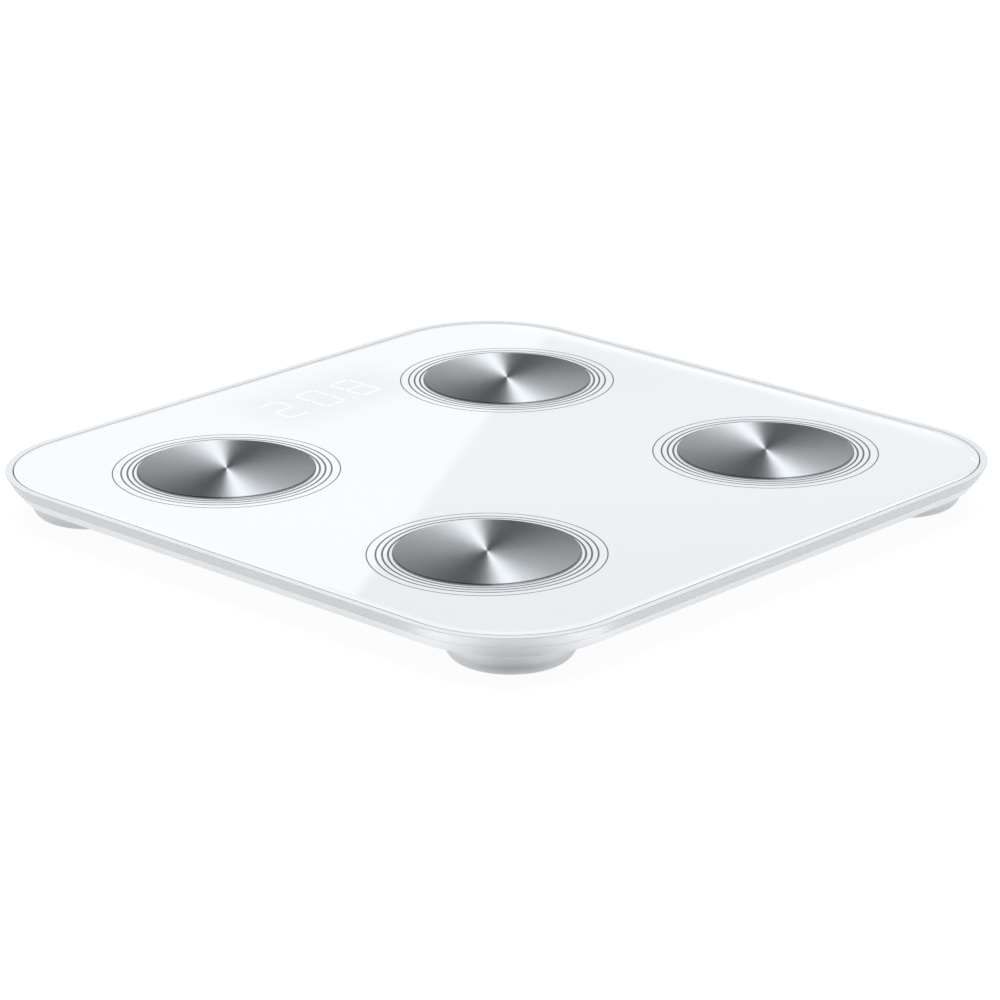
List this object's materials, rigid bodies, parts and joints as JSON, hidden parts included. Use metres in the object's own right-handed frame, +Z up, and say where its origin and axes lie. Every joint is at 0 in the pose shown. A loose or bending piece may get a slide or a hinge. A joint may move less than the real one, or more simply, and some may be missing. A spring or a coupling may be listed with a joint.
{
  "type": "digital bathroom scale",
  "caption": "Square white glass bathroom scale with round brushed-steel electrodes, lit numerals under the glass, floating feet on load cells and a battery door underneath.",
  "frame": {"origin": "on the floor under the middle of the scale, at the bottoms of the foot pads", "axes": "+Z up, +Y towards the toe end where the display is, +X to the user's right"},
  "size_m": [0.3, 0.3, 0.021],
  "materials": {
    "white_glass": "white back-printed tempered glass, polished",
    "frame_plastic": "white moulded plastic, satin gloss",
    "base_plastic": "white moulded plastic, fine spark texture",
    "foot_plastic": "pale grey moulded plastic, satin",
    "foot_rubber": "grey rubber, matte",
    "brushed_steel": "turned stainless steel, circular brushing",
    "cell_steel": "stamped alloy steel",
    "zinc_steel": "zinc plated steel",
    "tinned_metal": "tinned sheet metal",
    "contact_metal": "nickel plated spring steel",
    "capacitor_metal": "drawn aluminium can",
    "tape": "foam bonding tape",
    "fibre": "red vulcanised fibre",
    "sealant": "white silicone sealant",
    "circuit_board": "green solder mask",
    "chip_black": "moulded black epoxy",
    "connector_plastic": "off-white nylon",
    "button_plastic": "grey moulded plastic",
    "diffuser": "milky diffusing film",
    "reflector_plastic": "white reflector plastic",
    "battery_jacket": "plain printed jacket on a steel can",
    "insulator": "clear grey insulating film",
    "lead_white": "white insulation",
    "lead_grey": "grey insulation",
    "lead_red": "red insulation"
  },
  "bodies": {
    "scale_body": {"glass_platform": "white_glass", "glass_tape": "tape", "top_frame": "frame_plastic", "base_shell": "base_plastic", "electrode_tape": "tape", "electrode_washers": "fibre", "electrode_lugs": "tinned_metal", "electrode_nuts": "zinc_steel", "electrode_leads": "lead_white", "strain_gauges": "sealant", "load_cell_screws": "zinc_steel", "load_cell_leads": "lead_grey", "main_board": "circuit_board", "controller_chip": "chip_black", "radio_module": "tinned_metal", "board_capacitors": "capacitor_metal", "lead_connectors": "connector_plastic", "unit_switch": "chip_black", "board_screws": "zinc_steel", "display_diffuser": "diffuser", "display_reflector": "reflector_plastic", "display_board": "circuit_board", "display_screws": "zinc_steel", "display_lead": "lead_grey", "battery_springs": "contact_metal", "battery_contacts": "contact_metal", "battery_leads": "lead_red", "bay_insulator": "insulator", "case_screws": "zinc_steel", "electrode_toe_left": "brushed_steel", "load_cell_toe_left": "cell_steel", "electrode_toe_right": "brushed_steel", "load_cell_toe_right": "cell_steel", "electrode_heel_left": "brushed_steel", "load_cell_heel_left": "cell_steel", "electrode_heel_right": "brushed_steel", "load_cell_heel_right": "cell_steel", "battery_1": "battery_jacket", "battery_2": "battery_jacket", "battery_3": "battery_jacket", "battery_4": "battery_jacket"},
    "foot_toe_left": {"foot_cap_toe_left": "foot_plastic", "foot_pad_toe_left": "foot_rubber"},
    "foot_toe_right": {"foot_cap_toe_right": "foot_plastic", "foot_pad_toe_right": "foot_rubber"},
    "foot_heel_left": {"foot_cap_heel_left": "foot_plastic", "foot_pad_heel_left": "foot_rubber"},
    "foot_heel_right": {"foot_cap_heel_right": "foot_plastic", "foot_pad_heel_right": "foot_rubber"},
    "battery_door": {"battery_door": "base_plastic", "door_latch": "base_plastic"},
    "unit_button": {"unit_button": "button_plastic"}
  },
  "joints": [
    {"name": "foot_slide_toe_left", "type": "slide", "parent": "scale_body", "child": "foot_toe_left", "axis": [0, 0, -1], "range_m": [0, 0.0005]},
    {"name": "foot_slide_toe_right", "type": "slide", "parent": "scale_body", "child": "foot_toe_right", "axis": [0, 0, -1], "range_m": [0, 0.0005]},
    {"name": "foot_slide_heel_left", "type": "slide", "parent": "scale_body", "child": "foot_heel_left", "axis": [0, 0, -1], "range_m": [0, 0.0005]},
    {"name": "foot_slide_heel_right", "type": "slide", "parent": "scale_body", "child": "foot_heel_right", "axis": [0, 0, -1], "range_m": [0, 0.0005]},
    {"name": "battery_door_hinge", "type": "hinge", "parent": "scale_body", "child": "battery_door", "pos_m": [0, -0.0407, 0.0039], "axis": [-1, 0, 0], "range_deg": [0, 85], "deforming": ["door_latch"]},
    {"name": "unit_button_press", "type": "slide", "parent": "scale_body", "child": "unit_button", "axis": [0, 0, 1], "range_m": [0, 0.0008], "stiffness_N_per_m": 600, "springref_m": -0.0015}
  ]
}
